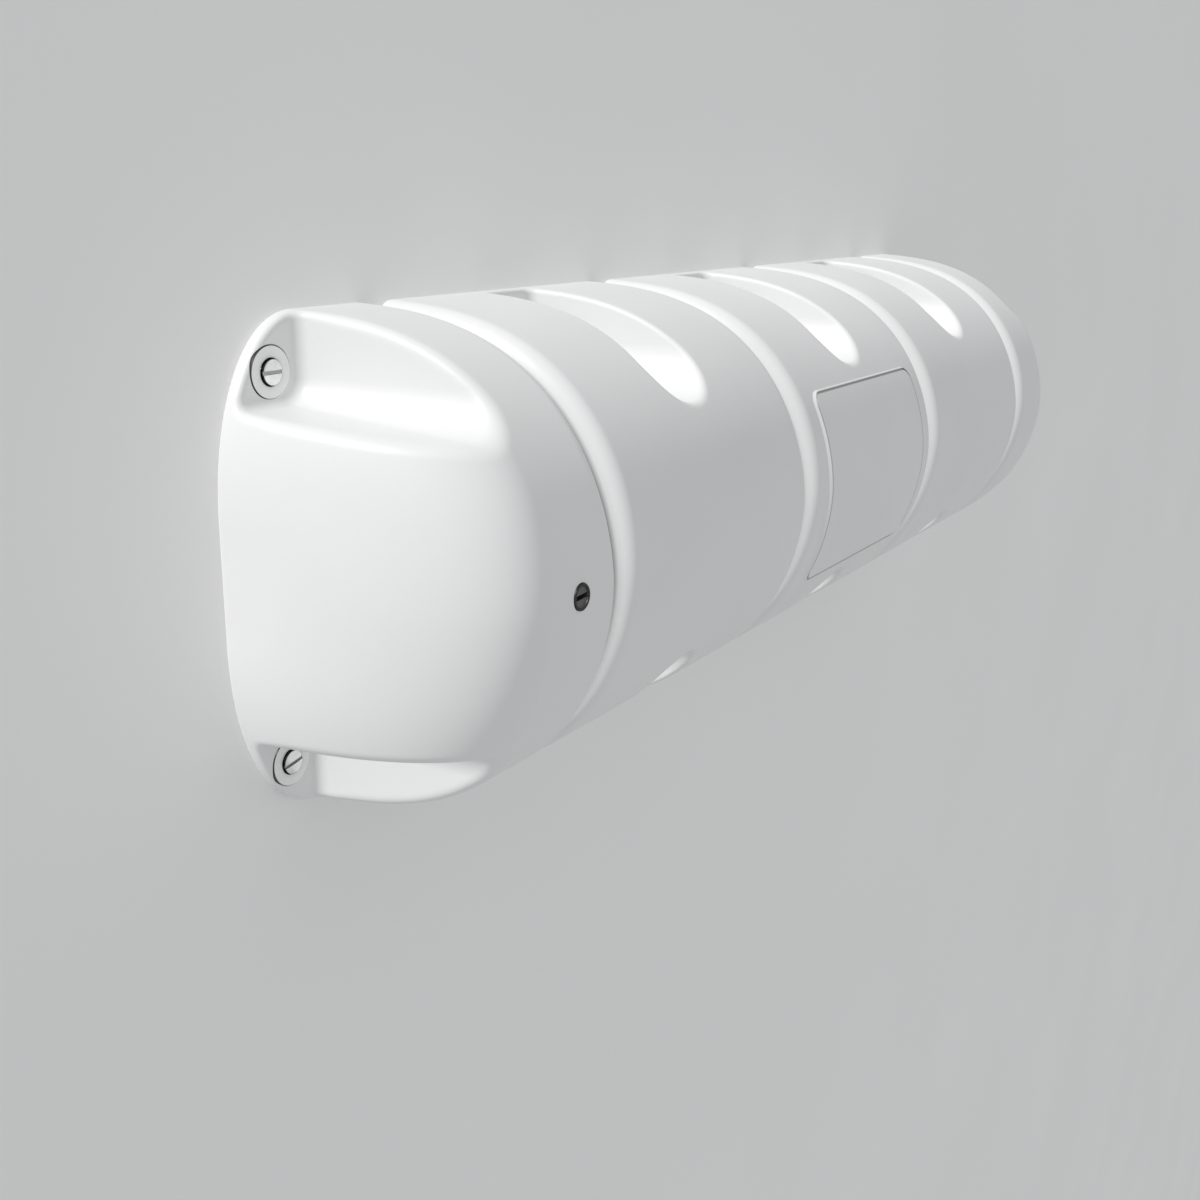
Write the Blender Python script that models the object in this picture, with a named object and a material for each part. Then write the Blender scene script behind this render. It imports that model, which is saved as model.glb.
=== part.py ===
"""Screw-on dock fender: one hollow-moulded white body with a D section, four girth grooves, ten
fixing points with a washer and a slotted screw each, and a slotted inflation valve plug.

It is stored lying on its flat back. +X runs along the fender, +Y is up once it is mounted and +Z
points out from the dock. The origin is on the back plane, at the middle of length and height.
"""
from math import asin, cos, pi, radians, sin, sqrt, tan

import bmesh
import bpy
from mathutils import Matrix, Vector

# Body, in metres
LENGTH = 0.750
HEIGHT = 0.215
DEPTH = 0.132
FLANGE = 0.0075          # thickness of the back flange under the fixings
CLEARANCE = 0.0003       # gap between pieces that touch

# D section: a superellipse whose centre lies behind the back plane
SECTION_SINK = 0.057
SECTION_DEPTH_POWER = 3.9
SECTION_HEIGHT_POWER = 1.815
SECTION_STEPS = 36

# Ends: the section shrinks over this length, to a small flat face
END_ROUND = 0.0455
END_POWER = 2.1
END_FLAT_HALF_HEIGHT = 0.025
END_FLAT_DEPTH = 0.029
END_STEPS = 7

# Girth grooves, one at each end of each bay
BAYS = 3
BAY_PITCH = 0.1854
GROOVE_DEPTH = 0.0073
GROOVE_LIP_RADIUS = 0.0076
GROOVE_BOTTOM_RADIUS = 0.0053
GROOVE_WALL_ANGLE = radians(57)
GROOVE_ARC_STEPS = 3

# Access channels to the fixings. Sizes are at the flange, and the walls lean out by the draft.
DRAFT = radians(2.5)
SCOOP_HALF_WIDTH = 0.0180
SCOOP_END_Y = 0.0645     # rounded inner end of the channel
CORNER_DRAFT = radians(4.5)
CORNER_WALL_X = 0.0425   # from the end of the fender
CORNER_WALL_Y = 0.0700
CORNER_FILLET = 0.0100
ARC_STEPS = 8

# Fixings: a washer let into a seat in the flange, and a slotted screw with a raised head
FIXING_Y = 0.0838
CORNER_FIXING_X = 0.0264  # from the end of the fender
HOLE_RADIUS = 0.0036
SEAT_DEPTH = 0.0023
WASHER_RADIUS = 0.0108
WASHER_THICKNESS = 0.0026
WASHER_EDGE = 0.0004
WASHER_BORE_RADIUS = 0.0058
WASHER_SEGMENTS = 24
SCREW_RADIUS = 0.0030
SCREW_TIP_Z = 0.0010
SCREW_SEGMENTS = 16
TIP_CHAMFER = 0.0009
HEAD_RADIUS = 0.0054
HEAD_CONE = 0.0015
HEAD_WALL = 0.0014
HEAD_DOME = 0.0006
HEAD_DOME_STEPS = 3
SLOT_WIDTH = 0.0016
SLOT_DEPTH = 0.0010
SLOT_TURN_PER_COLUMN = radians(25)
SLOT_TURN_LOWER = radians(10)
SEAT_Z = FLANGE - SEAT_DEPTH
HEAD_SEAT_Z = SEAT_Z + 3 * CLEARANCE
HEAD_TOP_Z = HEAD_SEAT_Z + HEAD_CONE + HEAD_WALL + HEAD_DOME
SEAT_TOP_Z = FLANGE + 0.001    # the seat's cutter ends just above the flange

# Valve plug, on the centre line of the first end bay
VALVE_X = 0.0638          # from the end of the fender
VALVE_Y = 0.0015
VALVE_RADIUS = 0.0055
VALVE_LENGTH = 0.0080
VALVE_PROUD = 0.0004
VALVE_SLOT_LENGTH = 0.0084
VALVE_SLOT_WIDTH = 0.0021
VALVE_SLOT_DEPTH = 0.0016
VALVE_SLOT_ANGLE = radians(3)
VALVE_SEGMENTS = 24

# Bare raised panel in the middle bay
PANEL_HALF_LENGTH = 0.070
PANEL_HALF_HEIGHT = 0.052
PANEL_RAISE = 0.0008
PANEL_ROOT = 0.003        # how far the panel's solid reaches into the body
PANEL_CORNER = 0.008
PANEL_CORNER_STEPS = 3
PANEL_STEPS = 10

MARGIN = 0.020            # how far the cutters reach past the body
SMOOTH_ANGLE = radians(35)

BODY_WHITE = (0.80, 0.81, 0.80, 1.0)
WASHER_GREY = (0.55, 0.56, 0.56, 1.0)
STEEL = (0.58, 0.58, 0.57, 1.0)
PLUG_GREY = (0.045, 0.045, 0.048, 1.0)


def clear_scene():
    for obj in list(bpy.data.objects):
        bpy.data.objects.remove(obj, do_unlink=True)


def material(name, colour, roughness, metallic=0.0):
    mat = bpy.data.materials.new(name)
    mat.use_nodes = True
    shader = mat.node_tree.nodes["Principled BSDF"]
    shader.inputs["Base Color"].default_value = colour
    shader.inputs["Roughness"].default_value = roughness
    shader.inputs["Metallic"].default_value = metallic
    return mat


def add_object(name, bm, mat=None, parent=None):
    bmesh.ops.recalc_face_normals(bm, faces=bm.faces)
    mesh = bpy.data.meshes.new(name)
    bm.to_mesh(mesh)
    bm.free()
    mesh.shade_smooth()
    mesh.set_sharp_from_angle(angle=SMOOTH_ANGLE)
    obj = bpy.data.objects.new(name, mesh)
    bpy.context.scene.collection.objects.link(obj)
    if mat:
        mesh.materials.append(mat)
    obj.parent = parent
    return obj


def add_boolean(name, bm, target, operation="DIFFERENCE"):
    tool = add_object(name, bm)
    tool.display_type = "WIRE"
    tool.hide_render = True
    boolean = target.modifiers.new(name, "BOOLEAN")
    boolean.operation = operation
    boolean.solver = "EXACT"
    boolean.object = tool


def loft(bm, rings, bore=False):
    """Skin closed rings of equally many points. The ends are capped, or joined round a bore."""
    loops = [[bm.verts.new(point) for point in ring] for ring in rings]
    pairs = list(zip(loops, loops[1:]))
    if bore:
        pairs.append((loops[-1], loops[0]))
    count = len(loops[0])
    for first, second in pairs:
        for i in range(count):
            j = (i + 1) % count
            bm.faces.new((first[i], first[j], second[j], second[i]))
    if not bore:
        bm.faces.new(loops[0][::-1])
        bm.faces.new(loops[-1])


def add_turned(bm, profile, segments, bore=False, centre=(0, 0)):
    """Add a solid of revolution about a vertical axis, from (radius, z) points."""
    x, y = centre
    angles = [2 * pi * i / segments for i in range(segments)]
    rings = [[(x + radius * cos(a), y + radius * sin(a), z) for a in angles] for radius, z in profile]
    loft(bm, rings, bore)


def turned(profile, segments, bore=False):
    bm = bmesh.new()
    add_turned(bm, profile, segments, bore)
    return bm


def slot_cutter(width, depth, length, top, angle):
    bm = bmesh.new()
    bmesh.ops.create_cube(bm, size=1.0)
    bmesh.ops.scale(bm, vec=(length, width, 2 * depth), verts=bm.verts)
    bmesh.ops.rotate(bm, cent=(0, 0, 0), matrix=Matrix.Rotation(angle, 3, "Z"), verts=bm.verts)
    bmesh.ops.translate(bm, vec=(0, 0, top), verts=bm.verts)
    return bm


# Places, worked out from the driving dimensions

def groove_centres():
    return [BAY_PITCH * (i - BAYS / 2) for i in range(BAYS + 1)]


def bay_centres():
    return [BAY_PITCH * (i - (BAYS - 1) / 2) for i in range(BAYS)]


def fixing_columns():
    corner = LENGTH / 2 - CORNER_FIXING_X
    columns = {"end_a": -corner, "end_b": corner}
    for number, x in enumerate(bay_centres(), start=1):
        columns[f"bay_{number}"] = x
    return columns


def fixing_places():
    rows = {"upper": FIXING_Y, "lower": -FIXING_Y}
    return {f"{column}_{row}": (x, y) for column, x in fixing_columns().items() for row, y in rows.items()}


# Body

def section_start():
    """Angle at which the superellipse leaves the back plane."""
    return asin((SECTION_SINK / (DEPTH + SECTION_SINK)) ** (SECTION_DEPTH_POWER / 2))


def section_point(angle):
    """(y, z) of the D section, from the upper back edge over the front to the lower one."""
    reach = HEIGHT / 2 / cos(section_start()) ** (2 / SECTION_HEIGHT_POWER)
    side = 1 if cos(angle) >= 0 else -1
    y = side * reach * abs(cos(angle)) ** (2 / SECTION_HEIGHT_POWER)
    z = (DEPTH + SECTION_SINK) * sin(angle) ** (2 / SECTION_DEPTH_POWER) - SECTION_SINK
    return y, max(z, 0.0)


def section_front(y):
    """z of the D section's front at a height y."""
    reach = HEIGHT / 2 / cos(section_start()) ** (2 / SECTION_HEIGHT_POWER)
    across = (abs(y) / reach) ** (SECTION_HEIGHT_POWER / 2)
    return (DEPTH + SECTION_SINK) * (1 - across ** 2) ** (1 / SECTION_DEPTH_POWER) - SECTION_SINK


def section_ring(x, scale_y, scale_z, inset):
    start = section_start()
    angles = [start + (pi - 2 * start) * i / SECTION_STEPS for i in range(SECTION_STEPS + 1)]
    outline = [section_point(angle) for angle in angles]
    ring = []
    for i, (y, z) in enumerate(outline):
        before = outline[max(i - 1, 0)]
        after = outline[min(i + 1, SECTION_STEPS)]
        along = Vector((after[0] - before[0], after[1] - before[1])).normalized()
        inward = Vector((-along.y, along.x))
        if i in (0, SECTION_STEPS):
            inward = Vector((-1 if y > 0 else 1, 0))   # the back edges stay on the back plane
        ring.append((x, (y + inset * inward.x) * scale_y, (z + inset * inward.y) * scale_z))
    return ring


def end_scales(distance):
    """Height and depth of the section near an end, as shares of the full ones."""
    left = max(1 - distance / END_ROUND, 0.0)
    rise = (1 - left ** END_POWER) ** (1 / END_POWER)
    flat_y = END_FLAT_HALF_HEIGHT / (HEIGHT / 2)
    flat_z = END_FLAT_DEPTH / DEPTH
    return flat_y + (1 - flat_y) * rise, flat_z + (1 - flat_z) * rise


def groove_half_width():
    """Reach of the groove: two rounded lips and a rounded bottom, joined by straight walls."""
    radii = GROOVE_LIP_RADIUS + GROOVE_BOTTOM_RADIUS
    wall = (GROOVE_DEPTH - radii * (1 - cos(GROOVE_WALL_ANGLE))) / sin(GROOVE_WALL_ANGLE)
    return radii * sin(GROOVE_WALL_ANGLE) + wall * cos(GROOVE_WALL_ANGLE)


def groove_inset(x):
    offset = min(abs(x - centre) for centre in groove_centres())
    from_edge = groove_half_width() - offset
    lip_run = GROOVE_LIP_RADIUS * sin(GROOVE_WALL_ANGLE)
    if from_edge <= 0:
        return 0.0
    if from_edge <= lip_run:
        return GROOVE_LIP_RADIUS - sqrt(GROOVE_LIP_RADIUS ** 2 - from_edge ** 2)
    if offset <= GROOVE_BOTTOM_RADIUS * sin(GROOVE_WALL_ANGLE):
        return GROOVE_DEPTH - GROOVE_BOTTOM_RADIUS + sqrt(GROOVE_BOTTOM_RADIUS ** 2 - offset ** 2)
    lip_drop = GROOVE_LIP_RADIUS * (1 - cos(GROOVE_WALL_ANGLE))
    return lip_drop + (from_edge - lip_run) * tan(GROOVE_WALL_ANGLE)


def stations():
    """Places along the length where the section changes."""
    places = []
    for i in range(END_STEPS + 1):
        angle = pi / 2 * i / END_STEPS
        distance = END_ROUND * (1 - cos(angle) ** (2 / END_POWER))
        places += [distance - LENGTH / 2, LENGTH / 2 - distance]
    for i in range(GROOVE_ARC_STEPS + 1):
        turn = sin(GROOVE_WALL_ANGLE * i / GROOVE_ARC_STEPS)
        for offset in (GROOVE_BOTTOM_RADIUS * turn, groove_half_width() - GROOVE_LIP_RADIUS * turn):
            for centre in groove_centres():
                places += [centre - offset, centre + offset]
    return sorted(set(places))


def body_shell():
    bm = bmesh.new()
    rings = []
    for x in stations():
        scale_y, scale_z = end_scales(LENGTH / 2 - abs(x))
        rings.append(section_ring(x, scale_y, scale_z, groove_inset(x)))
    loft(bm, rings)
    return bm


def channel_outline(half_width, inner_y, mirror, x):
    """Plan of a scoop: two straight sides, and a half circle at the inner end."""
    centre_y = inner_y + half_width
    outer_y = HEIGHT / 2 + MARGIN
    points = [(x + half_width, outer_y)]
    for i in range(ARC_STEPS + 1):
        angle = -pi * i / ARC_STEPS
        points.append((x + half_width * cos(angle), centre_y + half_width * sin(angle)))
    points.append((x - half_width, outer_y))
    return [(px, mirror * py) for px, py in points]


def corner_outline(wall_x, wall_y, fillet, mirror_x, mirror_y):
    """Plan of a corner recess: a wall facing the end, a fillet, and a wall facing up or down."""
    outer_x = LENGTH / 2 + MARGIN
    outer_y = HEIGHT / 2 + MARGIN
    inner_x = LENGTH / 2 - wall_x
    points = [(outer_x, outer_y), (inner_x, outer_y)]
    for i in range(ARC_STEPS + 1):
        angle = pi + pi / 2 * i / ARC_STEPS
        points.append((inner_x + fillet * (1 + cos(angle)), wall_y + fillet * (1 + sin(angle))))
    points.append((outer_x, wall_y))
    return [(mirror_x * px, mirror_y * py) for px, py in points]


def add_prism(bm, low_outline, low_z, high_outline, high_z):
    loft(bm, [[(x, y, low_z) for x, y in low_outline], [(x, y, high_z) for x, y in high_outline]])


def scoop_cutters():
    bm = bmesh.new()
    top = DEPTH + MARGIN
    lean = tan(DRAFT) * (top - FLANGE)
    for x in bay_centres():
        for mirror in (1, -1):
            low = channel_outline(SCOOP_HALF_WIDTH, SCOOP_END_Y, mirror, x)
            high = channel_outline(SCOOP_HALF_WIDTH + lean, SCOOP_END_Y - lean, mirror, x)
            add_prism(bm, low, FLANGE, high, top)
    return bm


def corner_cutters():
    bm = bmesh.new()
    top = DEPTH + MARGIN
    lean = tan(CORNER_DRAFT) * (top - FLANGE)
    for mirror_x in (1, -1):
        for mirror_y in (1, -1):
            low = corner_outline(CORNER_WALL_X, CORNER_WALL_Y, CORNER_FILLET, mirror_x, mirror_y)
            high = corner_outline(CORNER_WALL_X + lean, CORNER_WALL_Y - lean, CORNER_FILLET + lean,
                                  mirror_x, mirror_y)
            add_prism(bm, low, FLANGE, high, top)
    return bm


def hole_cutters():
    """Screw holes, each with a round seat for its washer."""
    seat_radius = WASHER_RADIUS + CLEARANCE
    profile = [(HOLE_RADIUS, -MARGIN), (HOLE_RADIUS, SEAT_Z),
               (seat_radius, SEAT_Z), (seat_radius, SEAT_TOP_Z)]
    bm = bmesh.new()
    for x, y in fixing_places().values():
        add_turned(bm, profile, WASHER_SEGMENTS, centre=(x, y))
    return bm


def valve_seat_cutter():
    radius = VALVE_RADIUS + CLEARANCE
    floor = DEPTH - VALVE_LENGTH - CLEARANCE
    bm = turned([(radius, floor), (radius, DEPTH + MARGIN)], VALVE_SEGMENTS)
    bmesh.ops.translate(bm, vec=(VALVE_X - LENGTH / 2, VALVE_Y, 0), verts=bm.verts)
    return bm


def panel_rows():
    """(y, half length) of the panel's rows, with round corners."""
    corner = []
    for i in range(PANEL_CORNER_STEPS + 1):
        angle = pi / 2 * i / PANEL_CORNER_STEPS
        y = PANEL_HALF_HEIGHT - PANEL_CORNER * (1 - cos(angle))
        corner.append((y, PANEL_HALF_LENGTH - PANEL_CORNER * (1 - sin(angle))))
    straight = PANEL_HALF_HEIGHT - PANEL_CORNER
    middle = [(straight * (1 - 2 * i / PANEL_STEPS), PANEL_HALF_LENGTH) for i in range(1, PANEL_STEPS)]
    return corner + middle + [(-y, half_length) for y, half_length in reversed(corner)]


def panel_solid():
    """A thin pad that follows the curve of the front."""
    rings = []
    for y, half_length in panel_rows():
        low = section_front(y) - PANEL_ROOT
        high = section_front(y) + PANEL_RAISE
        rings.append([(-half_length, y, low), (half_length, y, low),
                      (half_length, y, high), (-half_length, y, high)])
    bm = bmesh.new()
    loft(bm, rings)
    return bm


def make_body(mat, parent):
    body = add_object("fender_body", body_shell(), mat, parent)
    add_boolean("cutter_scoops", scoop_cutters(), body)
    add_boolean("cutter_corners", corner_cutters(), body)
    add_boolean("panel_pad", panel_solid(), body, "UNION")
    add_boolean("cutter_holes", hole_cutters(), body)
    add_boolean("cutter_valve_seat", valve_seat_cutter(), body)


# Fixings and valve

def washer_mesh():
    """Disc with a cylindrical mouth and a countersink that the screw head sits in."""
    bottom = SEAT_Z + CLEARANCE
    top = bottom + WASHER_THICKNESS
    profile = [
        (HOLE_RADIUS, bottom),
        (WASHER_RADIUS, bottom),
        (WASHER_RADIUS, top - WASHER_EDGE),
        (WASHER_RADIUS - WASHER_EDGE, top),
        (WASHER_BORE_RADIUS, top),
        (WASHER_BORE_RADIUS, bottom + HEAD_CONE + CLEARANCE),
    ]
    return turned(profile, WASHER_SEGMENTS, bore=True)


def screw_mesh():
    """Raised head with a low dome, on a cone that sits in the washer. The shank ends inside the flange."""
    profile = [
        (SCREW_RADIUS - TIP_CHAMFER, SCREW_TIP_Z),
        (SCREW_RADIUS, SCREW_TIP_Z + TIP_CHAMFER),
        (SCREW_RADIUS, HEAD_SEAT_Z),
        (HEAD_RADIUS, HEAD_SEAT_Z + HEAD_CONE),
    ]
    for i in range(HEAD_DOME_STEPS):
        angle = pi / 2 * i / HEAD_DOME_STEPS
        profile.append((HEAD_RADIUS * cos(angle), HEAD_TOP_Z - HEAD_DOME * (1 - sin(angle))))
    return turned(profile, SCREW_SEGMENTS)


def make_fixings(washer_mat, screw_mat, parent):
    for number, (place, (x, y)) in enumerate(fixing_places().items()):
        washer = add_object(f"washer_{place}", washer_mesh(), washer_mat, parent)
        washer.location = (x, y, 0)
        screw = add_object(f"screw_{place}", screw_mesh(), screw_mat, parent)
        screw.location = (x, y, 0)
        turn = SLOT_TURN_PER_COLUMN * (number // 2) + (SLOT_TURN_LOWER if y < 0 else 0.0)
        slot = slot_cutter(SLOT_WIDTH, SLOT_DEPTH, 2 * HEAD_RADIUS + MARGIN, HEAD_TOP_Z, turn)
        bmesh.ops.translate(slot, vec=(x, y, 0), verts=slot.verts)
        add_boolean(f"cutter_slot_{place}", slot, screw)


def make_valve(mat, parent):
    bottom = DEPTH - VALVE_LENGTH
    top = DEPTH + VALVE_PROUD
    profile = [(VALVE_RADIUS, bottom), (VALVE_RADIUS, DEPTH), (VALVE_RADIUS - VALVE_PROUD, top)]
    valve = add_object("valve_plug", turned(profile, VALVE_SEGMENTS), mat, parent)
    x = VALVE_X - LENGTH / 2
    valve.location = (x, VALVE_Y, 0)
    slot = slot_cutter(VALVE_SLOT_WIDTH, VALVE_SLOT_DEPTH, VALVE_SLOT_LENGTH, top, VALVE_SLOT_ANGLE)
    bmesh.ops.translate(slot, vec=(x, VALVE_Y, 0), verts=slot.verts)
    add_boolean("cutter_valve_slot", slot, valve)


def main():
    clear_scene()
    root = bpy.data.objects.new("dock_fender", None)
    bpy.context.scene.collection.objects.link(root)
    make_body(material("white_moulded_plastic", BODY_WHITE, 0.45), root)
    make_fixings(material("washer_plastic", WASHER_GREY, 0.4), material("steel", STEEL, 0.3, 1.0), root)
    make_valve(material("dark_plug", PLUG_GREY, 0.5), root)


main()
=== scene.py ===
"""Looks of the screw-on dock fender: the moulded body with its soft edges, the turned washers,
screws and valve plug, their finishes, a pale floor, studio light and the photograph's camera.

The frame is the CAD's: the fender lies on its back on Z = 0, +X runs along it, and +Y is up once
it is mounted. Lengths are in metres.
"""
from math import asin, cos, pi, radians, sin, tan

import bmesh
import bpy
import numpy as np
from mathutils import Matrix, Vector


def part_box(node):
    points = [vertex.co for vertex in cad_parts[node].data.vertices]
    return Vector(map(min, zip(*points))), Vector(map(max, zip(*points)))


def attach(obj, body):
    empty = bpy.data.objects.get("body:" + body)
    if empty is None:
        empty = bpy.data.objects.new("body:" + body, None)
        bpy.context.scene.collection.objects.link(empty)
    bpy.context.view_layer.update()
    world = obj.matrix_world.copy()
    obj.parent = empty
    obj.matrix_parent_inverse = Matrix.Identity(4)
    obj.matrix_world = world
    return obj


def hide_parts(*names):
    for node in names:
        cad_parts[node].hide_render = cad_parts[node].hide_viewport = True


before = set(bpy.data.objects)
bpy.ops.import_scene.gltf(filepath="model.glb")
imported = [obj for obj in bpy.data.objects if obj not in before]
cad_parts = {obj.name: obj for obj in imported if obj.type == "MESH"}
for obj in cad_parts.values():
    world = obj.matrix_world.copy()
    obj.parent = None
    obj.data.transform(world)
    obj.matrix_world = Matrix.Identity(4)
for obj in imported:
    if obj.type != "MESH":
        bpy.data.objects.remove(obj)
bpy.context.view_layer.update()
body_low, body_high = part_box("fender_body")

# Body sizes, as in the CAD
LENGTH = body_high.x - body_low.x
HEIGHT = body_high.y - body_low.y
DEPTH = 0.132
FLANGE = 0.0075
SECTION_SINK = 0.057
SECTION_DEPTH_POWER = 3.9
SECTION_HEIGHT_POWER = 1.815
END_ROUND = 0.0455
END_POWER = 2.1
END_FLAT_HALF_HEIGHT = 0.025
END_FLAT_DEPTH = 0.029
BAYS = 3
BAY_PITCH = 0.1854
GROOVE_DEPTH = 0.0073
GROOVE_LIP_RADIUS = 0.0076
GROOVE_BOTTOM_RADIUS = 0.0053
GROOVE_WALL_ANGLE = radians(57)
DRAFT = radians(2.5)
SCOOP_HALF_WIDTH = 0.0180
SCOOP_END_Y = 0.0645
CORNER_DRAFT = radians(4.5)
CORNER_WALL_X = 0.0425
CORNER_WALL_Y = 0.0700
CORNER_FILLET = 0.0100
PANEL_HALF_LENGTH = 0.070
PANEL_HALF_HEIGHT = 0.052
PANEL_ROOT = 0.003
PANEL_CORNER = 0.008

# Softness of the moulded edges: how wide the blend is where two surfaces meet
BACK_BLEND = 0.0020
FLOOR_BLEND = 0.0060
SCOOP_LIP = 0.0024
CORNER_LIP_LOW = 0.0030   # at the flange
CORNER_LIP = 0.0050
LIP_GROWTH = 0.020        # height over which the corner lips soften
PANEL_RAISE = 0.0012      # 0.0008 in the CAD
PANEL_FOOT = 0.0010       # how far the bevel's foot lies outside the panel's outline
PANEL_BEVEL = 0.0016
REVEAL_INSET = 0.0006     # fine channel inside the bevel
REVEAL_WIDTH = 0.0010
REVEAL_DEPTH = 0.0009
GROOVE_SHADE_HALF_WIDTH = 0.0036   # of the painted shade along the bottom of each groove
GROOVE_SHADE_FADE = 0.0022
PAINTED_SHADE_SHARE = 0.5
PAINTED_SHADE_START_Z = (0.002, 0.006)   # painted shade fades in over this height above the back
LINE_FADE = 0.0002        # of the painted shade line round the panel
PANEL_ARC_STEPS = 8
PANEL_SIDE_STEPS = 30

# How finely the body is meshed
CELL = 0.0013
TABLE_STEP = 0.0005
MARGIN = 0.010
BODY_TRIANGLES = 170000
SLOPE_STEP = 0.0003
RISE_RANGE = (1e-3, 2.0)
RISE_HALVINGS = 40
SETTLE_ROUNDS = 3
LEAST_SLOPE_SQUARED = 0.2 # keeps a point's move small where the field is almost level
CLOSE_MATCH = 0.97        # cosine under which a face off the moulding counts as cut
LOOSE_MATCH = 0.7         # the same for a face on the moulding

# Fixings and valve, as in the CAD apart from the two sizes marked
CLEARANCE = 0.0003
HOLE_RADIUS = 0.0036
SEAT_DEPTH = 0.0023
SEAT_GAP = 0.0003         # round the washer
WASHER_THICKNESS = 0.0024 # thinner than the CAD's 0.0026, almost flush with the flange
WASHER_BORE_RADIUS = 0.0058
SCREW_RADIUS = 0.0030
SCREW_TIP_Z = 0.0010
HEAD_RADIUS = 0.0054
HEAD_CONE = 0.0015
HEAD_WALL = 0.0014
HEAD_DOME = 0.0006
SEAT_Z = FLANGE - SEAT_DEPTH
HEAD_SEAT_Z = SEAT_Z + 3 * CLEARANCE
HEAD_TOP_Z = HEAD_SEAT_Z + HEAD_CONE + HEAD_WALL + HEAD_DOME
SHADE_EDGE_WIDTH = 0.0003       # painted shade round each washer's rim and on each head's wall
SLOT_WIDTH = 0.0016
SLOT_DEPTH = 0.0010
SLOT_TURN_PER_COLUMN = radians(25)
SLOT_TURN_LOWER = radians(10)
COLUMNS = ("end_a", "end_b", "bay_1", "bay_2", "bay_3")
VALVE_LENGTH = 0.0080
VALVE_PROUD = 0.0004
VALVE_LIP = 0.0012        # width of the raised lip round the slotted core
VALVE_CORE_DROP = 0.0007
VALVE_FLOOR_Z = DEPTH + VALVE_PROUD - VALVE_CORE_DROP
VALVE_SLOT_WIDTH = 0.0021
VALVE_SLOT_DEPTH = 0.0022 # below the core, deeper than the CAD's 0.0016
VALVE_SLOT_ANGLE = radians(3)
TURNED_SEGMENTS = 64
DOME_STEPS = 10
SOFT_STEPS = 3
SHARP_ANGLE = radians(32)
# fade of the painted shade on the washers, the screw heads and the slots
SHADE_EDGE_FADE = 0.0001
TIP_SHARE = 0.6           # width of the screw's tip, as a share of its shank
TIP_LENGTH = 0.001

# Camera, matched to the photograph
CAMERA_PLACE = (-0.7301, 0.1484, 0.4009)
CAMERA_YAW = radians(35.54)
CAMERA_PITCH = radians(15.02)
CAMERA_ROLL = radians(0.39)
SENSOR = 36.0
FRAME_PIXELS = 1200
FOCAL_PIXELS = 1344.4
CENTRE_PIXEL = (517.7, 563.9)   # where the view axis meets the photograph
CLIP_START = 0.01

# Light and floor. The key comes from slightly behind the back plane, so it has to pass the floor.
KEY_TOWARDS = (-0.39, 0.41, -0.17)
KEY_STRENGTH = 2.42
KEY_SPREAD = radians(6)
SKY_COLOUR = (0.98, 0.99, 1.0, 1.0)
SKY_STRENGTH = 0.575
FLOOR_HALF_SIZE = 8.0
FLOOR_DROP = 0.0001       # keeps the floor off the body's back


def smooth_max(a, b, blend):
    """The larger of two distances, with the crease between them rounded over."""
    overlap = np.maximum(blend - np.abs(a - b), 0.0) / blend
    return np.maximum(a, b) + overlap * overlap * blend / 4


# The moulded body as a distance field

def section_reach():
    """Half width of the D section where it is widest, behind the back plane."""
    start = asin((SECTION_SINK / (DEPTH + SECTION_SINK)) ** (SECTION_DEPTH_POWER / 2))
    return HEIGHT / 2 / cos(start) ** (2 / SECTION_HEIGHT_POWER)


def section_value(y, z, rise):
    """Below 1 inside the D section of an end that has risen this far towards the full section."""
    reach = section_reach()
    flat_y = END_FLAT_HALF_HEIGHT / (HEIGHT / 2)
    flat_z = END_FLAT_DEPTH / DEPTH
    scale_y = flat_y + (1 - flat_y) * rise
    scale_z = flat_z + (1 - flat_z) * rise
    out = np.maximum(z / scale_z + SECTION_SINK, 0.0) / (DEPTH + SECTION_SINK)
    return (y / (scale_y * reach)) ** SECTION_HEIGHT_POWER + out ** SECTION_DEPTH_POWER


def rise_tables():
    """For places on the section's plane, the rise that puts the surface there, and its slope."""
    y = np.arange(0.0, HEIGHT / 2 + MARGIN, TABLE_STEP)[:, None]
    z = np.arange(-MARGIN, DEPTH + MARGIN, TABLE_STEP)[None, :]
    low = np.full((y.size, z.size), RISE_RANGE[0])
    high = np.full_like(low, RISE_RANGE[1])
    for _ in range(RISE_HALVINGS):
        middle = (low + high) / 2
        outside = section_value(y, z, middle) > 1
        low = np.where(outside, middle, low)
        high = np.where(outside, high, middle)
    slopes = np.gradient(low, TABLE_STEP)
    return low, np.hypot(slopes[0], slopes[1])


RISE, RISE_SLOPE = rise_tables()


def look_up(table, y, z):
    """The table's value at each place, blended between its four nearest entries."""
    row = np.clip(np.abs(y) / TABLE_STEP, 0, table.shape[0] - 1.001)
    column = np.clip((z + MARGIN) / TABLE_STEP, 0, table.shape[1] - 1.001)
    i, j = row.astype(int), column.astype(int)
    s, t = row - i, column - j
    near = (1 - t) * table[i, j] + t * table[i, j + 1]
    far = (1 - t) * table[i + 1, j] + t * table[i + 1, j + 1]
    return (1 - s) * near + s * far


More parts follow.
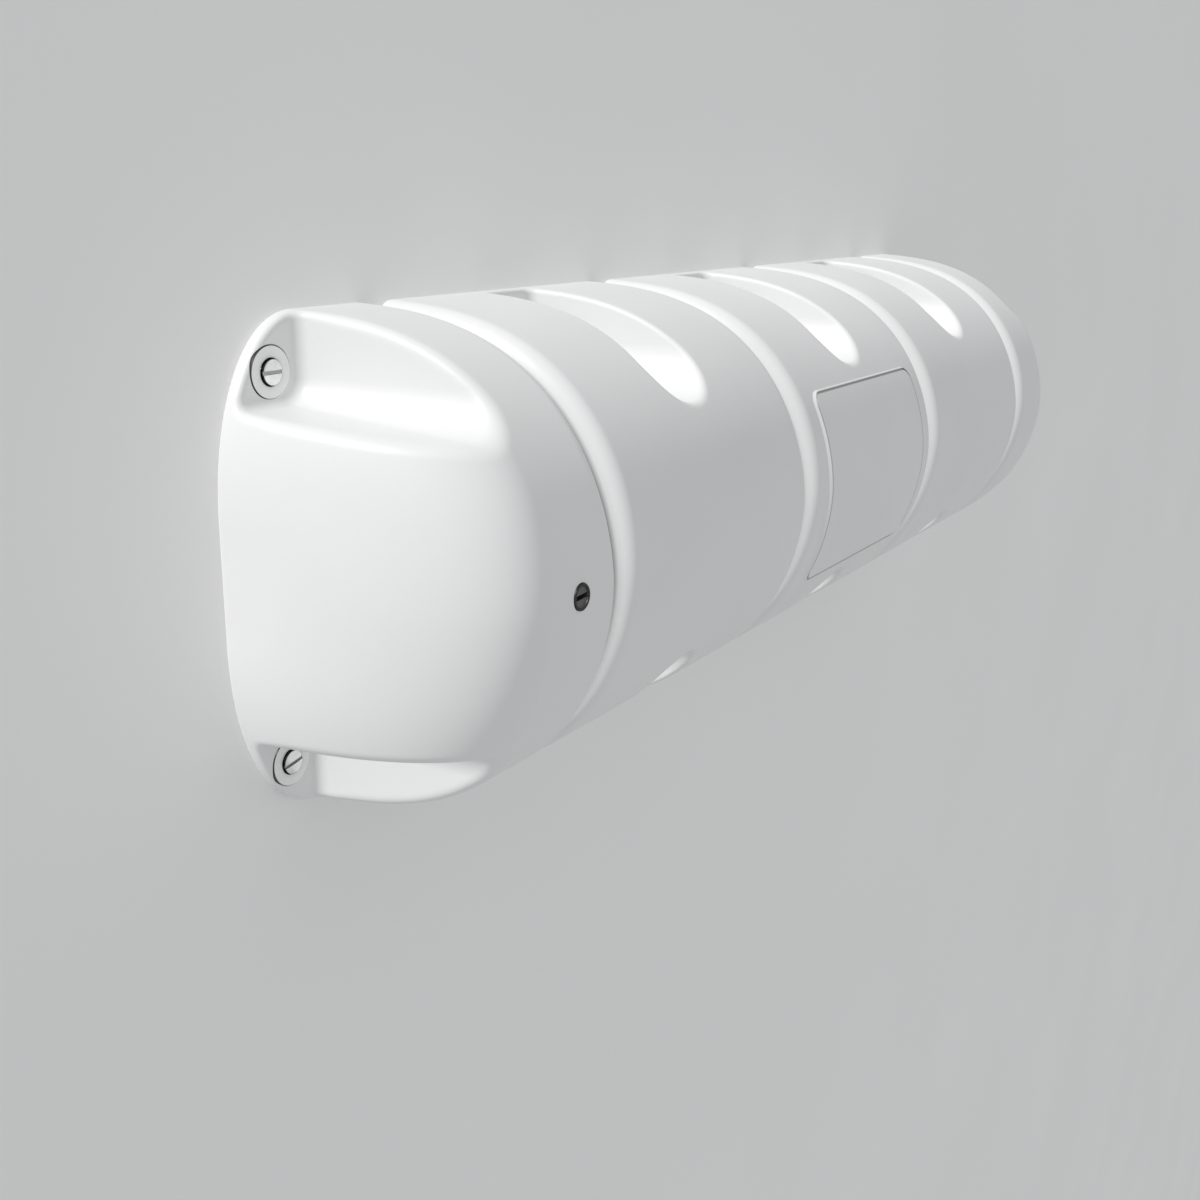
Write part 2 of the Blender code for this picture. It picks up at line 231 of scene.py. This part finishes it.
def groove_inset(x):
    """Depth of the girth grooves: two rounded lips and a rounded bottom, joined by straight walls."""
    centres = [BAY_PITCH * (i - BAYS / 2) for i in range(BAYS + 1)]
    offset = np.minimum.reduce([np.abs(x - centre) for centre in centres])
    rise, run = 1 - cos(GROOVE_WALL_ANGLE), sin(GROOVE_WALL_ANGLE)
    radii = GROOVE_LIP_RADIUS + GROOVE_BOTTOM_RADIUS
    half_width = radii * run + (GROOVE_DEPTH - radii * rise) / tan(GROOVE_WALL_ANGLE)
    from_edge = np.maximum(half_width - offset, 0.0)
    lip_reach, bottom_reach = GROOVE_LIP_RADIUS * run, GROOVE_BOTTOM_RADIUS * run
    lip = GROOVE_LIP_RADIUS - np.sqrt(GROOVE_LIP_RADIUS ** 2 - np.minimum(from_edge, lip_reach) ** 2)
    wall = np.maximum(from_edge - lip_reach, 0.0) * tan(GROOVE_WALL_ANGLE)
    across = np.minimum(offset, bottom_reach)
    bottom = GROOVE_DEPTH - GROOVE_BOTTOM_RADIUS + np.sqrt(GROOVE_BOTTOM_RADIUS ** 2 - across ** 2)
    return np.where(offset < bottom_reach, bottom, lip + wall)


def scoop_distance(x, y, z):
    """Negative inside the access channels above and below the bays' middles."""
    centres = [BAY_PITCH * (i - (BAYS - 1) / 2) for i in range(BAYS)]
    across = np.minimum.reduce([np.abs(x - centre) for centre in centres])
    lean = tan(DRAFT) * (z - FLANGE)
    along = np.minimum(np.abs(y) - SCOOP_END_Y - SCOOP_HALF_WIDTH, 0.0)
    plan = np.hypot(across, along) - SCOOP_HALF_WIDTH - lean
    return smooth_max(plan * cos(DRAFT), FLANGE - z, FLOOR_BLEND)


def corner_distance(x, y, z):
    """Negative inside the recesses at the four corners."""
    lean = tan(CORNER_DRAFT) * (z - FLANGE)
    fillet = np.maximum(CORNER_FILLET + lean, 0.001)
    a = LENGTH / 2 - np.abs(x) - CORNER_WALL_X - lean + fillet
    b = CORNER_WALL_Y - lean - np.abs(y) + fillet
    beyond = np.hypot(np.maximum(a, 0.0), np.maximum(b, 0.0))
    plan = np.minimum(np.maximum(a, b), 0.0) + beyond - fillet
    return smooth_max(plan * cos(CORNER_DRAFT), FLANGE - z, FLOOR_BLEND)


def moulding(x, y, z):
    """About the distance to the moulded body's surface, negative inside."""
    rise = look_up(RISE, y, z)
    left = np.maximum(1 - (LENGTH / 2 - np.abs(x)) / END_ROUND, 0.0)
    norm = (rise ** END_POWER + left ** END_POWER) ** (1 / END_POWER)
    rise_slope = (rise / norm) ** (END_POWER - 1) * look_up(RISE_SLOPE, y, z)
    left_slope = (left / norm) ** (END_POWER - 1) / END_ROUND
    body = (norm - 1) / np.maximum(np.hypot(rise_slope, left_slope), 1.0)
    body = smooth_max(body + groove_inset(x), -z, BACK_BLEND)
    body = smooth_max(body, -scoop_distance(x, y, z), SCOOP_LIP)
    growth = np.clip((z - FLANGE) / LIP_GROWTH, 0.0, 1.0)
    lip = CORNER_LIP_LOW + (CORNER_LIP - CORNER_LIP_LOW) * growth
    return smooth_max(body, -corner_distance(x, y, z), lip)


def moulding_slope(points):
    """Gradient of the distance at each point."""
    slopes = np.empty_like(points)
    for axis in range(3):
        step = np.zeros(3)
        step[axis] = SLOPE_STEP
        ahead = moulding(*(points + step).T)
        behind = moulding(*(points - step).T)
        slopes[:, axis] = (ahead - behind) / (2 * SLOPE_STEP)
    return slopes


def sampled_moulding():
    """The field on a regular grid, worked out for one quarter of the body and mirrored."""
    x = np.arange(0.0, LENGTH / 2 + 3 * CELL, CELL)
    y = np.arange(0.0, HEIGHT / 2 + 3 * CELL, CELL)
    z = np.arange(-3.5 * CELL, DEPTH + 3 * CELL, CELL)
    field = moulding(x[:, None, None], y[None, :, None], z[None, None, :]).astype(np.float32)
    field = np.concatenate((field[:0:-1], field), axis=0)
    field = np.concatenate((field[:, :0:-1], field), axis=1)
    return field, np.array((-x[-1], -y[-1], z[0]))


def surface_points(field, cells):
    """One point in each cell that the surface crosses: the middle of its crossings."""
    total = np.zeros((len(cells), 3))
    hits = np.zeros(len(cells))
    for axis in range(3):
        for u in (0, 1):
            for v in (0, 1):
                start = np.insert((u, v), axis, 0)
                end = np.insert((u, v), axis, 1)
                a = field[tuple((cells + start).T)]
                b = field[tuple((cells + end).T)]
                crossed = (a < 0) != (b < 0)
                place = np.tile(start.astype(float), (crossed.sum(), 1))
                place[:, axis] = a[crossed] / (a[crossed] - b[crossed])
                total[crossed] += place
                hits[crossed] += 1
    return total / hits[:, None]


def surface_net(field):
    """Points, in cells, and four-sided faces of the surface where the field is zero."""
    inside = field < 0
    count = sum(inside[i:i - 1 or None, j:j - 1 or None, k:k - 1 or None].astype(np.int8)
                for i in (0, 1) for j in (0, 1) for k in (0, 1))
    active = (count > 0) & (count < 8)
    number = np.full(active.shape, -1)
    number[active] = np.arange(active.sum())
    cells = np.argwhere(active)
    faces = []
    for axis in range(3):
        u, v = (axis + 1) % 3, (axis + 2) % 3
        last = inside.shape[axis] - 1
        before = inside.take(range(last), axis)
        after = inside.take(range(1, last + 1), axis)
        edges = np.argwhere(before != after)
        corners = []
        for du, dv in ((-1, -1), (0, -1), (0, 0), (-1, 0)):
            cell = edges.copy()
            cell[:, u] += du
            cell[:, v] += dv
            corners.append(number[tuple(cell.T)])
        quads = np.stack(corners, axis=1)
        backwards = ~before[tuple(edges.T)]
        quads[backwards] = quads[backwards, ::-1]
        faces.append(quads)
    return cells + surface_points(field, cells), np.concatenate(faces)


def mesh_from_arrays(name, points, faces):
    mesh = bpy.data.meshes.new(name)
    mesh.vertices.add(len(points))
    mesh.vertices.foreach_set("co", points.astype(np.float32).ravel())
    mesh.loops.add(faces.size)
    mesh.loops.foreach_set("vertex_index", faces.astype(np.int32).ravel())
    mesh.polygons.add(len(faces))
    mesh.polygons.foreach_set("loop_start", np.arange(0, faces.size, faces.shape[1], dtype=np.int32))
    mesh.update(calc_edges=True)
    return mesh


def mesh_points(mesh):
    points = np.empty(len(mesh.vertices) * 3, np.float32)
    mesh.vertices.foreach_get("co", points)
    return points.reshape(-1, 3).astype(float)


def settled(points):
    """The points, moved onto the surface along its slope."""
    for _ in range(SETTLE_ROUNDS):
        slopes = moulding_slope(points)
        shift = moulding(*points.T) / np.maximum((slopes ** 2).sum(axis=1), LEAST_SLOPE_SQUARED)
        points = points - slopes * np.clip(shift, -CELL / 2, CELL / 2)[:, None]
    return points


# Objects

def add_object(name, mesh, mat=None):
    obj = bpy.data.objects.new(name, mesh)
    bpy.context.scene.collection.objects.link(obj)
    if mat:
        mesh.materials.append(mat)
    return obj


def object_from_bmesh(name, bm, mat=None):
    bmesh.ops.recalc_face_normals(bm, faces=bm.faces)
    mesh = bpy.data.meshes.new(name)
    bm.to_mesh(mesh)
    bm.free()
    return add_object(name, mesh, mat)


def apply_modifiers(obj):
    """Bakes the modifiers into the mesh, and drops the cutters that they used."""
    tools = [modifier.object for modifier in obj.modifiers if modifier.type == "BOOLEAN"]
    depsgraph = bpy.context.evaluated_depsgraph_get()
    mesh = bpy.data.meshes.new_from_object(obj.evaluated_get(depsgraph))
    obj.modifiers.clear()
    old = obj.data
    mesh.name = old.name
    obj.data = mesh
    bpy.data.meshes.remove(old)
    for tool in tools:
        bpy.data.objects.remove(tool)


def add_boolean(obj, tool, operation="DIFFERENCE"):
    boolean = obj.modifiers.new(tool.name, "BOOLEAN")
    boolean.operation = operation
    boolean.solver = "EXACT"
    boolean.object = tool


def softened(profile, radius):
    """The open profile with its inner corners rounded, as quadratic curves."""
    points = [Vector(point) for point in profile]
    result = [points[0]]
    for before, corner, after in zip(points, points[1:], points[2:]):
        reach = min(radius, (before - corner).length / 2, (after - corner).length / 2)
        start = corner + (before - corner).normalized() * reach
        end = corner + (after - corner).normalized() * reach
        for i in range(SOFT_STEPS + 1):
            t = i / SOFT_STEPS
            result.append(start * (1 - t) ** 2 + corner * 2 * t * (1 - t) + end * t ** 2)
    return result + [points[-1]]


def loft(bm, rings, bore=False):
    """Skin over closed rings. The ends are capped, or joined round a bore."""
    loops = [[bm.verts.new(point) for point in ring] for ring in rings]
    pairs = list(zip(loops, loops[1:]))
    if bore:
        pairs.append((loops[-1], loops[0]))
    for first, second in pairs:
        for i in range(len(first)):
            j = (i + 1) % len(first)
            bm.faces.new((first[i], first[j], second[j], second[i]))
    if not bore:
        bm.faces.new(loops[0][::-1])
        bm.faces.new(loops[-1])


def add_turned(bm, profile, bore=False, centre=(0, 0)):
    """Solid of revolution about an upright axis, from (radius, z) points."""
    x, y = centre
    angles = [2 * pi * i / TURNED_SEGMENTS for i in range(TURNED_SEGMENTS)]
    loft(bm, [[(x + r * cos(a), y + r * sin(a), z) for a in angles] for r, z in profile], bore)


def turned(profile, bore=False):
    bm = bmesh.new()
    add_turned(bm, profile, bore)
    return bm


def slot_tool(name, size, angle, place):
    """Block that cuts a slot: its size, its turn about the upright axis and its middle."""
    bm = bmesh.new()
    bmesh.ops.create_cube(bm, size=1.0)
    bmesh.ops.scale(bm, vec=size, verts=bm.verts)
    turn = Matrix.Translation(place) @ Matrix.Rotation(angle, 4, "Z")
    bmesh.ops.transform(bm, matrix=turn, verts=bm.verts)
    return object_from_bmesh(name, bm)


def node_centre(node):
    low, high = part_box(node)
    return (low.x + high.x) / 2, (low.y + high.y) / 2


def node_radius(node):
    low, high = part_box(node)
    return (high.x - low.x) / 2


def fixing_nodes(kind):
    """(node, column's number, whether it is in the lower row) of each washer or screw."""
    for number, column in enumerate(COLUMNS):
        for row in ("upper", "lower"):
            yield f"{kind}_{column}_{row}", number, row == "lower"


# Finishes

class Finish:
    """A Principled material with helpers for its node tree."""

    def __init__(self, name, roughness, metallic=0.0):
        self.material = bpy.data.materials.new(name)
        self.material.use_nodes = True
        self.tree = self.material.node_tree
        self.shader = self.tree.nodes["Principled BSDF"]
        self.shader.inputs["Roughness"].default_value = roughness
        self.shader.inputs["Metallic"].default_value = metallic
        self.place = self.add("ShaderNodeTexCoord").outputs["Object"]

    def add(self, kind, **values):
        node = self.tree.nodes.new(kind)
        for key, value in values.items():
            if key in node.inputs:
                node.inputs[key].default_value = value
            else:
                setattr(node, key, value)
        return node

    def link(self, output, target):
        self.tree.links.new(output, target)

    def noise(self, scale, detail):
        node = self.add("ShaderNodeTexNoise", Scale=scale, Detail=detail, Roughness=0.5)
        self.link(self.place, node.inputs["Vector"])
        return node.outputs["Fac"]

    def axes(self):
        split = self.add("ShaderNodeSeparateXYZ")
        self.link(self.place, split.inputs["Vector"])
        return split.outputs

    def hypotenuse(self, *values):
        squares = [self.maths("MULTIPLY", value, value) for value in values]
        return self.maths("SQRT", self.maths("ADD", *squares))

    def maths(self, operation, *values):
        node = self.add("ShaderNodeMath", operation=operation)
        for socket, value in zip(node.inputs, values):
            if isinstance(value, float):
                socket.default_value = value
            else:
                self.link(value, socket)
        return node.outputs["Value"]

    def radius(self):
        """Distance from the piece's own upright axis."""
        flat = self.add("ShaderNodeVectorMath", operation="MULTIPLY")
        flat.inputs[1].default_value = (1, 1, 0)
        self.link(self.place, flat.inputs[0])
        length = self.add("ShaderNodeVectorMath", operation="LENGTH")
        self.link(flat.outputs["Vector"], length.inputs[0])
        return length.outputs["Value"]

    def ramp(self, factor, *stops):
        """Colour between two stops, each a position and a colour."""
        node = self.add("ShaderNodeValToRGB")
        for element, (position, colour) in zip(node.color_ramp.elements, stops):
            element.position = position
            element.color = colour
        self.link(factor, node.inputs["Fac"])
        return node.outputs["Color"]

    def spread(self, factor, low, high, start=0.3, end=0.7):
        node = self.add("ShaderNodeMapRange")
        for socket, value in zip(node.inputs[1:5], (start, end, low, high)):
            socket.default_value = value
        self.link(factor, node.inputs["Value"])
        return node.outputs["Result"]

    def bump(self, height, distance, strength, under=None):
        node = self.add("ShaderNodeBump", Distance=distance, Strength=strength)
        self.link(height, node.inputs["Height"])
        if under:
            self.link(under, node.inputs["Normal"])
        return node.outputs["Normal"]

    def tint(self, tone, darkest=0.0):
        """Uses a tone between 0 and 1 as the grey base colour."""
        self.set("Base Color", self.ramp(tone, (0.0, grey(darkest)), (1.0, grey(1.0))))

    def set(self, socket, output):
        self.link(output, self.shader.inputs[socket])


def grey(level, warmth=0.0):
    return (level * (1 + warmth), level, level * (1 - warmth), 1.0)


def moulded_white():
    """Satin white vinyl, with a fine moulded skin, and painted shade as dark lines in the grooves and round
    the panel.
    """
    finish = Finish("satin_white_vinyl", 0.42)
    x, y, z = finish.axes()
    # painted shade: a dark line along the bottom of each groove
    shifted = finish.maths("SUBTRACT", x, BAY_PITCH / 2)
    off_bay = finish.maths("WRAP", shifted, BAY_PITCH / 2, -BAY_PITCH / 2)
    from_groove = finish.maths("ABSOLUTE", off_bay)
    groove = finish.spread(from_groove, 1.0, 0.0, GROOVE_SHADE_HALF_WIDTH - GROOVE_SHADE_FADE, GROOVE_SHADE_HALF_WIDTH)
    # painted shade: a dark line in the fine channel round the panel
    across = finish.maths("SUBTRACT", finish.maths("ABSOLUTE", x), PANEL_HALF_LENGTH - PANEL_CORNER)
    along = finish.maths("SUBTRACT", finish.maths("ABSOLUTE", y), PANEL_HALF_HEIGHT - PANEL_CORNER)
    beyond = finish.hypotenuse(finish.maths("MAXIMUM", across, 0.0), finish.maths("MAXIMUM", along, 0.0))
    within = finish.maths("MINIMUM", finish.maths("MAXIMUM", across, along), 0.0)
    inset = finish.maths("SUBTRACT", PANEL_CORNER, finish.maths("ADD", beyond, within))
    from_line = finish.maths("ABSOLUTE", finish.maths("SUBTRACT", inset, REVEAL_INSET + REVEAL_WIDTH / 2))
    line = finish.spread(from_line, 1.0, 0.0, REVEAL_WIDTH / 2, REVEAL_WIDTH / 2 + LINE_FADE)
    marks = finish.maths("MAXIMUM", groove, line)
    # both lines of painted shade darken the base colour, fading out near the back
    painted_shade = finish.maths("MULTIPLY", marks, finish.spread(z, 0.0, 1.0, *PAINTED_SHADE_START_Z))
    shade_factor = finish.maths("SUBTRACT", 1.0, finish.maths("MULTIPLY", painted_shade, PAINTED_SHADE_SHARE))
    finish.tint(finish.maths("MULTIPLY", finish.spread(finish.noise(9, 2), 0.77, 0.795, 0.35, 0.65), shade_factor))
    finish.set("Roughness", finish.spread(finish.noise(30, 4), 0.38, 0.50))
    waves = finish.bump(finish.noise(22, 1), 0.00025, 0.35)
    finish.set("Normal", finish.bump(finish.noise(1400, 2), 0.00004, 0.35, waves))
    finish.shader.inputs["IOR"].default_value = 1.5
    return finish.material


def washer_pale():
    """Pale nylon, with painted shade in the countersink and round the rim."""
    finish = Finish("washer_pale_nylon", 0.35)
    rim = node_radius("washer_end_a_upper") - SHADE_EDGE_WIDTH
    # painted shade inside the bore and round the rim
    inner = finish.spread(finish.radius(), 0.0, 1.0, WASHER_BORE_RADIUS, WASHER_BORE_RADIUS + SHADE_EDGE_FADE)
    outer = finish.spread(finish.radius(), 1.0, 0.0, rim, rim + SHADE_EDGE_FADE)
    tone = finish.maths("MULTIPLY", finish.spread(finish.noise(160, 3), 0.86, 0.90),
                        finish.maths("MULTIPLY", inner, outer))
    finish.tint(tone, darkest=0.03)
    finish.set("Roughness", finish.spread(finish.noise(500, 3), 0.30, 0.42))
    finish.set("Normal", finish.bump(finish.noise(1800, 2), 0.00003, 0.3))
    return finish.material


def screw_steel():
    """Turned stainless steel with faint handling marks. Its wall and its slot's bottom are darkened as
    painted shade.
    """
    finish = Finish("turned_stainless_steel", 0.2, 1.0)
    rings = finish.add("ShaderNodeTexWave", wave_type="RINGS", rings_direction="Z",
                       Scale=700.0, Distortion=0.8)
    finish.link(finish.place, rings.inputs["Vector"])
    wall = HEAD_RADIUS - SHADE_EDGE_WIDTH
    slot_floor = HEAD_TOP_Z - SLOT_DEPTH
    # painted shade on the head's wall and at the bottom of its slot
    on_top = finish.spread(finish.radius(), 1.0, 0.0, wall, wall + 2 * SHADE_EDGE_FADE)
    start, end = slot_floor + SHADE_EDGE_FADE, slot_floor + 3 * SHADE_EDGE_FADE
    unshaded = finish.maths("MULTIPLY", on_top, finish.spread(finish.axes()[2], 0.4, 1.0, start, end))
    steel = finish.spread(finish.noise(300, 4), 0.72, 0.84)
    finish.tint(finish.maths("MULTIPLY", steel, unshaded), darkest=0.04)
    finish.set("Roughness", finish.spread(finish.noise(700, 4), 0.16, 0.26))
    finish.set("Normal", finish.bump(rings.outputs["Fac"], 0.00001, 0.3))
    return finish.material


def plug_black():
    """Dark rubber lip, a slightly greyer core inside it, and a slot darkened to black as painted shade."""
    finish = Finish("dark_valve_rubber", 0.5)
    core = node_radius("valve_plug") - VALVE_LIP
    rubber = finish.spread(finish.radius(), 0.10, 0.008, core - 2 * SHADE_EDGE_FADE, core + SHADE_EDGE_FADE)
    # painted shade: the slot's inside darkened to black
    slot_top = VALVE_FLOOR_Z - SHADE_EDGE_FADE
    above_slot = finish.spread(finish.axes()[2], 0.02, 1.0, slot_top - 3 * SHADE_EDGE_FADE, slot_top)
    finish.tint(finish.maths("MULTIPLY", rubber, above_slot))
    finish.set("Roughness", finish.spread(finish.noise(600, 3), 0.42, 0.6))
    finish.set("Normal", finish.bump(finish.noise(1500, 2), 0.00004, 0.5))
    return finish.material


def floor_pale():
    finish = Finish("pale_floor", 0.75)
    pale = finish.ramp(finish.noise(3, 2), (0.3, grey(0.90, 0.003)), (0.7, grey(0.92, 0.003)))
    finish.set("Base Color", pale)
    return finish.material


# Body pieces

def panel_outline(inset):
    """Right half of the panel's outline, from its upper to its lower edge, with round corners."""
    corner = PANEL_CORNER - inset
    half_length = PANEL_HALF_LENGTH - PANEL_CORNER
    half_height = PANEL_HALF_HEIGHT - PANEL_CORNER
    arc = [(half_length + corner * sin(a), half_height + corner * cos(a))
           for a in (pi / 2 * i / PANEL_ARC_STEPS for i in range(PANEL_ARC_STEPS + 1))]
    middle = [(half_length + corner, half_height * (1 - 2 * i / PANEL_SIDE_STEPS))
              for i in range(1, PANEL_SIDE_STEPS)]
    return arc + middle + [(x, -y) for x, y in reversed(arc)]


def section_front(y):
    """Height of the full section's front at this place across it."""
    across = (abs(y) / section_reach()) ** SECTION_HEIGHT_POWER
    return (DEPTH + SECTION_SINK) * (1 - across) ** (1 / SECTION_DEPTH_POWER) - SECTION_SINK


def panel_tool():
    """Thin pad on the front of the middle bay, with bevelled ends."""
    bm = bmesh.new()
    loops = []
    outline = panel_outline(0.0)
    buried = PANEL_FOOT + PANEL_ROOT * PANEL_BEVEL / PANEL_RAISE
    for reach, height in ((buried, -PANEL_ROOT), (PANEL_FOOT - PANEL_BEVEL, PANEL_RAISE)):
        right = [bm.verts.new((x + reach, y, section_front(y) + height)) for x, y in outline]
        left = [bm.verts.new((-x - reach, y, section_front(y) + height)) for x, y in outline]
        loops.append((right, left))
    (right_a, left_a), (right_b, left_b) = loops
    for i in range(len(outline) - 1):
        bm.faces.new((right_a[i], right_a[i + 1], right_b[i + 1], right_b[i]))
        bm.faces.new((left_a[i + 1], left_a[i], left_b[i], left_b[i + 1]))
    for i in (0, -1):
        bm.faces.new((right_a[i], right_b[i], left_b[i], left_a[i]))
    for right, left in loops:
        for i in range(len(right) - 1):
            bm.faces.new((right[i], right[i + 1], left[i + 1], left[i]))
    return object_from_bmesh("panel_tool", bm)


def reveal_tool():
    """Cutter for the fine channel that runs round the panel, inside its bevel."""
    bm = bmesh.new()
    rings = []
    outer, inner = REVEAL_INSET, REVEAL_INSET + REVEAL_WIDTH
    low, high = PANEL_RAISE - REVEAL_DEPTH, PANEL_RAISE + REVEAL_DEPTH
    for inset, height in ((outer, low), (outer, high), (inner, high), (inner, low)):
        right = panel_outline(inset)
        outline = right + [(-x, y) for x, y in reversed(right)]
        rings.append([(x, y, section_front(y) + height) for x, y in outline])
    loft(bm, rings, bore=True)
    return object_from_bmesh("reveal_tool", bm)


def hole_tool():
    """Screw holes, each with a round seat for its washer, and the valve plug's seat."""
    bm = bmesh.new()
    for node, _, _ in fixing_nodes("washer"):
        seat = node_radius(node) + SEAT_GAP
        profile = [(HOLE_RADIUS, -MARGIN), (HOLE_RADIUS, SEAT_Z), (seat, SEAT_Z), (seat, FLANGE + CELL)]
        add_turned(bm, profile, centre=node_centre(node))
    seat = node_radius("valve_plug") + CLEARANCE
    profile = [(seat, DEPTH - VALVE_LENGTH - CLEARANCE), (seat, DEPTH + MARGIN)]
    add_turned(bm, profile, centre=node_centre("valve_plug"))
    return object_from_bmesh("hole_tool", bm)


def shade_from_field(mesh):
    """Gives moulded faces the field's own normals, and leaves cut faces and the panel's bevel flat."""
    slopes = moulding_slope(mesh_points(mesh))
    slopes /= np.linalg.norm(slopes, axis=1)[:, None]
    corners = np.empty(len(mesh.loops), np.int32)
    mesh.loops.foreach_get("vertex_index", corners)
    flat = np.empty(len(mesh.polygons) * 3, np.float32)
    mesh.polygons.foreach_get("normal", flat)
    sizes = np.empty(len(mesh.polygons), np.int32)
    mesh.polygons.foreach_get("loop_total", sizes)
    flat = np.repeat(flat.reshape(-1, 3), sizes, axis=0)
    away = np.abs(moulding(*mesh_points(mesh).T))[corners]
    away = np.maximum.reduceat(away, np.cumsum(sizes) - sizes) > SLOPE_STEP
    limit = np.repeat(np.where(away, CLOSE_MATCH, LOOSE_MATCH), sizes)
    normals = slopes[corners]
    moulded = (normals * flat).sum(axis=1) > limit
    normals = np.where(moulded[:, None], normals, flat)
    mesh.shade_smooth()
    mesh.normals_split_custom_set([tuple(normal) for normal in normals.tolist()])


def make_body():
    field, corner = sampled_moulding()
    points, faces = surface_net(field)
    body = add_object("moulded_body", mesh_from_arrays("moulded_body", corner + points * CELL, faces))
    decimate = body.modifiers.new("decimate", "DECIMATE")
    decimate.ratio = BODY_TRIANGLES / (2 * len(faces))
    apply_modifiers(body)
    points = settled(mesh_points(body.data))
    body.data.vertices.foreach_set("co", points.astype(np.float32).ravel())
    body.data.update()
    add_boolean(body, panel_tool(), "UNION")
    add_boolean(body, reveal_tool())
    add_boolean(body, hole_tool())
    apply_modifiers(body)
    shade_from_field(body.data)
    body.data.materials.append(moulded_white())
    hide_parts("fender_body")
    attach(body, "root")


# Fixings and valve

def finish_turned(piece, node):
    """Sets a turned piece on its node's axis, with smooth faces and sharp edges."""
    piece.location = (*node_centre(node), 0.0)
    if piece.modifiers:
        apply_modifiers(piece)
    piece.data.shade_smooth()
    piece.data.set_sharp_from_angle(angle=SHARP_ANGLE)
    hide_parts(node)
    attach(piece, "root")


def make_washers(mat):
    bottom = SEAT_Z + CLEARANCE
    top = bottom + WASHER_THICKNESS
    for node, _, _ in fixing_nodes("washer"):
        radius = node_radius(node)
        profile = softened([
            (HOLE_RADIUS, bottom + 0.0001), (HOLE_RADIUS, bottom), (radius, bottom), (radius, top),
            (WASHER_BORE_RADIUS, top), (WASHER_BORE_RADIUS, bottom + HEAD_CONE + CLEARANCE),
            (HOLE_RADIUS, bottom + 0.0001),
        ], 0.0004)[:-1]
        washer = object_from_bmesh(f"{node}_detail", turned(profile, bore=True), mat)
        finish_turned(washer, node)


def make_screws(mat):
    shoulder = HEAD_SEAT_Z + HEAD_CONE
    shank = [(SCREW_RADIUS * TIP_SHARE, SCREW_TIP_Z), (SCREW_RADIUS, SCREW_TIP_Z + TIP_LENGTH),
             (SCREW_RADIUS, HEAD_SEAT_Z), (HEAD_RADIUS, shoulder)]
    dome = [(HEAD_RADIUS * cos(a), HEAD_TOP_Z - HEAD_DOME * (1 - sin(a)))
            for a in (pi / 2 * i / DOME_STEPS for i in range(DOME_STEPS))]
    for node, number, lower in fixing_nodes("screw"):
        screw = object_from_bmesh(f"{node}_detail", turned(shank + dome), mat)
        turn = SLOT_TURN_PER_COLUMN * number + (SLOT_TURN_LOWER if lower else 0.0)
        x, y = node_centre(node)
        size = (4 * HEAD_RADIUS, SLOT_WIDTH, 2 * SLOT_DEPTH)
        tool = slot_tool("slot_tool", size, turn, (0, 0, HEAD_TOP_Z))
        tool.location = (x, y, 0.0)
        screw.location = (x, y, 0.0)
        add_boolean(screw, tool)
        finish_turned(screw, node)


def make_valve(mat):
    top = DEPTH + VALVE_PROUD
    radius = node_radius("valve_plug")
    core = radius - VALVE_LIP
    profile = softened([
        (radius, DEPTH - VALVE_LENGTH), (radius, top), (core, top),
        (core, VALVE_FLOOR_Z), (core * 0.2, VALVE_FLOOR_Z),
    ], 0.0003)
    x, y = node_centre("valve_plug")
    valve = object_from_bmesh("valve_plug_detail", turned(profile), mat)
    valve.location = (x, y, 0.0)
    size = (2 * core, VALVE_SLOT_WIDTH, 2 * VALVE_SLOT_DEPTH)
    tool = slot_tool("valve_slot_tool", size, VALVE_SLOT_ANGLE, (0, 0, VALVE_FLOOR_Z))
    tool.location = (x, y, 0.0)
    add_boolean(valve, tool)
    finish_turned(valve, "valve_plug")


# Setting

def make_camera():
    """Camera at the photograph's place. Its image-up is the fender's +Y."""
    data = bpy.data.cameras.new("camera")
    data.sensor_width = SENSOR
    data.lens = SENSOR * FOCAL_PIXELS / FRAME_PIXELS
    data.shift_x = (FRAME_PIXELS / 2 - CENTRE_PIXEL[0]) / FRAME_PIXELS
    data.shift_y = (CENTRE_PIXEL[1] - FRAME_PIXELS / 2) / FRAME_PIXELS
    data.clip_start = CLIP_START
    camera = bpy.data.objects.new("camera", data)
    bpy.context.scene.collection.objects.link(camera)
    level = cos(CAMERA_PITCH)
    forward = Vector((cos(CAMERA_YAW) * level, -sin(CAMERA_PITCH), -sin(CAMERA_YAW) * level))
    right = forward.cross(Vector((0, 1, 0))).normalized()
    up = right.cross(forward)
    turn = Matrix((right, up, -forward)).transposed() @ Matrix.Rotation(-CAMERA_ROLL, 3, "Z")
    camera.matrix_world = Matrix.Translation(CAMERA_PLACE) @ turn.to_4x4()
    bpy.context.scene.camera = camera


def make_key():
    """Sun that casts no shadow, because the floor would block it."""
    data = bpy.data.lights.new("key", "SUN")
    data.energy = KEY_STRENGTH
    data.angle = KEY_SPREAD
    data.use_shadow = False
    light = bpy.data.objects.new("key", data)
    bpy.context.scene.collection.objects.link(light)
    light.rotation_euler = Vector(KEY_TOWARDS).to_track_quat("Z", "Y").to_euler()


def make_setting():
    bm = bmesh.new()
    drop = Matrix.Translation((0, 0, -FLOOR_DROP))
    bmesh.ops.create_grid(bm, x_segments=1, y_segments=1, size=FLOOR_HALF_SIZE, matrix=drop)
    floor = object_from_bmesh("floor", bm, floor_pale())
    world = bpy.data.worlds.new("studio")
    world.use_nodes = True
    background = world.node_tree.nodes["Background"]
    background.inputs["Color"].default_value = SKY_COLOUR
    background.inputs["Strength"].default_value = SKY_STRENGTH
    bpy.context.scene.world = world
    bpy.context.scene.view_settings.view_transform = "Standard"
    make_key()


make_camera()
make_body()
make_washers(washer_pale())
make_screws(screw_steel())
make_valve(plug_black())
make_setting()
